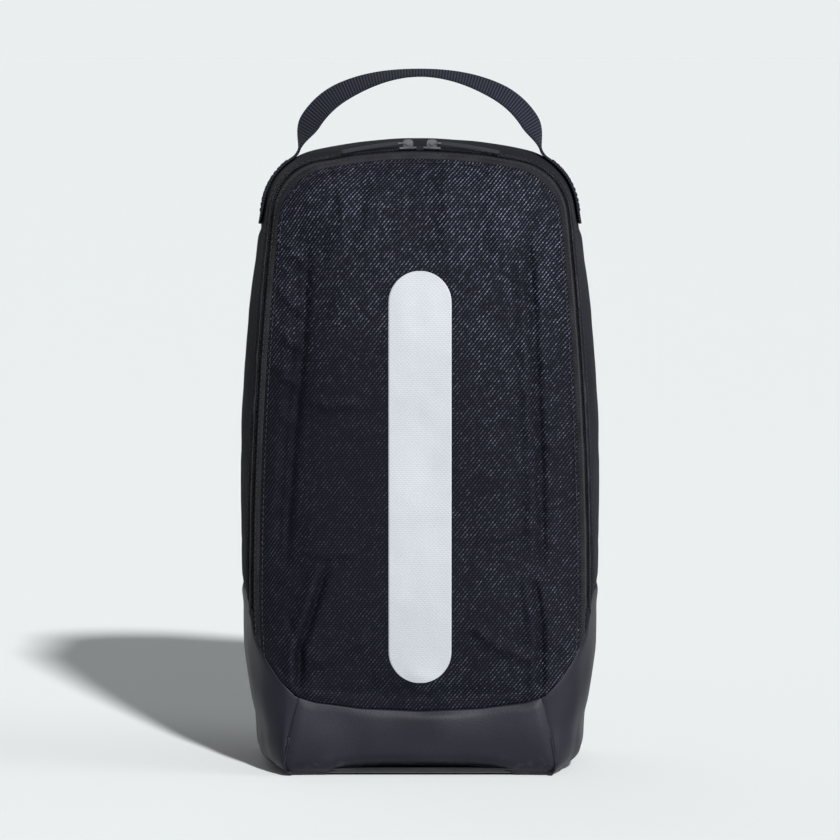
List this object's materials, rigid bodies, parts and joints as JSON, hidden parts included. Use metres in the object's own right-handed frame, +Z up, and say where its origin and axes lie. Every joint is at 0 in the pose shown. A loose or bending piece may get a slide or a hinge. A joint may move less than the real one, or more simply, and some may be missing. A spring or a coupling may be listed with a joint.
{
  "type": "golf shoe bag",
  "caption": "Tall zipped shoe bag with a fold-down padded front, wipe-clean boot, webbing carry handle and pale front band.",
  "frame": {"origin": "on the ground, at the middle of the footprint", "axes": "+X to the right of someone facing the front, +Y to the back, +Z up"},
  "size_m": [0.2128, 0.1309, 0.416],
  "materials": {
    "front_textile": "woven polyester with a fine diagonal fleck, matt with small bright flecks",
    "gusset_fabric": "plain-weave polyester, matt",
    "boot_coated": "coated wipe-clean fabric, satin",
    "webbing": "ribbed polyester webbing",
    "zip_tape": "knitted tape, matt",
    "zip_coil": "nylon coil, satin",
    "slider_metal": "gun-metal plate",
    "pull_rubber": "moulded, smooth satin",
    "band_film": "off-white bonded film, satin",
    "lining": "plain lining cloth, matt",
    "foam": "closed-cell padding",
    "board": "stiff plastic board",
    "binding": "folded binding tape"
  },
  "bodies": {
    "body": {"back_panel": "gusset_fabric", "back_foam": "foam", "back_lining": "lining", "gusset_right": "gusset_fabric", "gusset_left": "gusset_fabric", "gusset_top": "gusset_fabric", "gusset_lining": "lining", "rear_seam_binding": "binding", "front_panel_lower": "front_textile", "front_lining_lower": "lining", "boot_front": "boot_coated", "boot_back": "boot_coated", "boot_right": "boot_coated", "boot_left": "boot_coated", "bottom_panel": "boot_coated", "base_board": "board", "base_lining": "lining", "zip_coil_body": "zip_coil", "zip_tape_body": "zip_tape", "zip_end_right": "gusset_fabric", "zip_end_left": "gusset_fabric", "handle_end_right": "webbing", "handle_end_left": "webbing", "front_band_lower": "band_film"},
    "front_flap": {"front_panel": "front_textile", "front_foam": "foam", "front_lining": "lining", "front_edge_strip": "front_textile", "front_seam_binding": "binding", "zip_coil_flap": "zip_coil", "zip_tape_flap": "zip_tape", "front_band": "band_film"},
    "handle": {"handle_webbing": "webbing"},
    "slider_right_body": {"slider_right": "slider_metal"},
    "slider_left_body": {"slider_left": "slider_metal"},
    "pull_right": {"pull_link_right": "slider_metal", "pull_tab_right": "pull_rubber"},
    "pull_left": {"pull_link_left": "slider_metal", "pull_tab_left": "pull_rubber"}
  },
  "joints": [
    {"name": "front_flap_open", "type": "hinge", "parent": "body", "child": "front_flap", "pos_m": [0, -0.0656, 0.096], "axis": [1, 0, 0], "range_deg": [0, 110]},
    {"name": "handle_swing", "type": "hinge", "parent": "body", "child": "handle", "pos_m": [0, 0, 0.381], "axis": [1, 0, 0], "range_deg": [-70, 45], "stiffness_Nm_per_rad": 0.02},
    {"name": "slider_right_run", "type": "hinge", "parent": "body", "child": "slider_right_body", "pos_m": [0, -0.042, 0.079], "axis": [0, 1, 0], "range_deg": [0, 9]},
    {"name": "slider_left_run", "type": "hinge", "parent": "body", "child": "slider_left_body", "pos_m": [0, -0.042, 0.079], "axis": [0, -1, 0], "range_deg": [0, 9]},
    {"name": "pull_right_lift", "type": "hinge", "parent": "slider_right_body", "child": "pull_right", "pos_m": [0.0071, -0.042, 0.37356], "axis": [0, -1, 0], "range_deg": [0, 85]},
    {"name": "pull_left_lift", "type": "hinge", "parent": "slider_left_body", "child": "pull_left", "pos_m": [-0.0071, -0.042, 0.37356], "axis": [0, 1, 0], "range_deg": [0, 85]}
  ]
}
